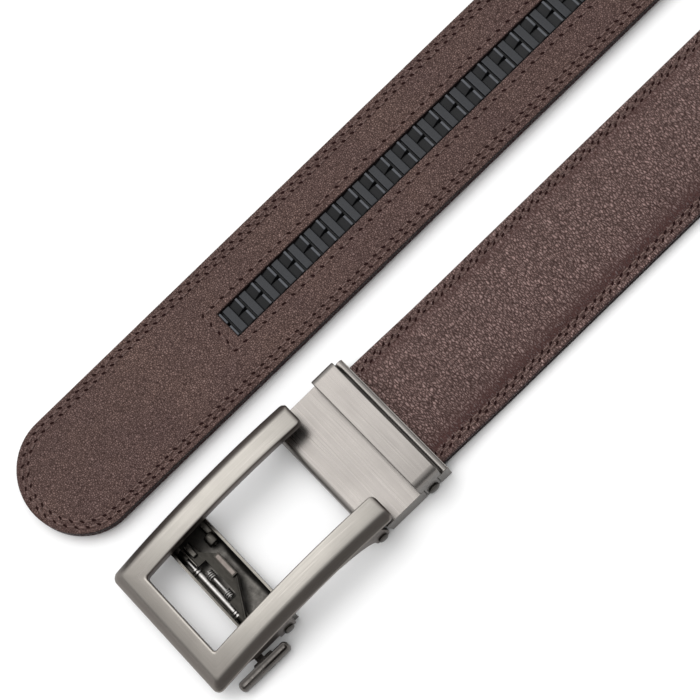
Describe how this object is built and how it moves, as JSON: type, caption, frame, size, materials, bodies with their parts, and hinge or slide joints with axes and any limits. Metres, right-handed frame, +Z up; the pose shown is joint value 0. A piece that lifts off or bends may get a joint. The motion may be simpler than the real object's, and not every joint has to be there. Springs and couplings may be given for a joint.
{
  "type": "ratchet belt",
  "caption": "Leather trouser belt with a toothed track in its free end and an open hinged frame buckle, whose sprung pawl holds the track and lets go when the side lever is lifted.",
  "frame": {"origin": "on the surface that the belt lies on, under the middle of the strap, 30 mm past the lip of the clamp that holds the strap's end", "axes": "+X along the strap away from the buckle, +Y across it towards the run with the free end, +Z up from the surface"},
  "size_m": [0.6294, 0.0909, 0.0755],
  "materials": {
    "leather_front": "grained top leather, dark brown with a soft sheen, padded along the middle",
    "leather_back": "smooth lining leather, dark brown, nearly matt",
    "track_plastic": "moulded charcoal plastic",
    "satin_metal": "satin brushed warm grey metal",
    "dark_metal": "dark gunmetal plating",
    "bright_metal": "bright turned steel"
  },
  "bodies": {
    "belt": {"strap_front": "leather_front", "strap_back": "leather_back", "ratchet_track": "track_plastic", "clamp_body": "satin_metal", "keeper_loop": "satin_metal", "clamp_jaw": "dark_metal", "keeper_rivet_near": "dark_metal", "keeper_rivet_far": "dark_metal"},
    "buckle": {"buckle_frame": "satin_metal", "hinge_pin": "dark_metal", "pawl_tray": "dark_metal", "pawl_pin": "bright_metal", "tray_rivet_near": "dark_metal", "tray_rivet_far": "dark_metal"},
    "release": {"pawl": "dark_metal", "torsion_spring": "bright_metal", "release_lever": "dark_metal"}
  },
  "joints": [
    {"name": "buckle_hinge", "type": "hinge", "parent": "belt", "child": "buckle", "pos_m": [-0.0534, 0, 0.0031], "axis": [0, 1, 0], "range_deg": [-90, 20]},
    {"name": "pawl_pivot", "type": "hinge", "parent": "buckle", "child": "release", "pos_m": [-0.0926, 0, 0.0022], "axis": [0, 1, 0], "range_deg": [0, 14], "stiffness_Nm_per_rad": 0.02, "springref_deg": -17.19}
  ]
}
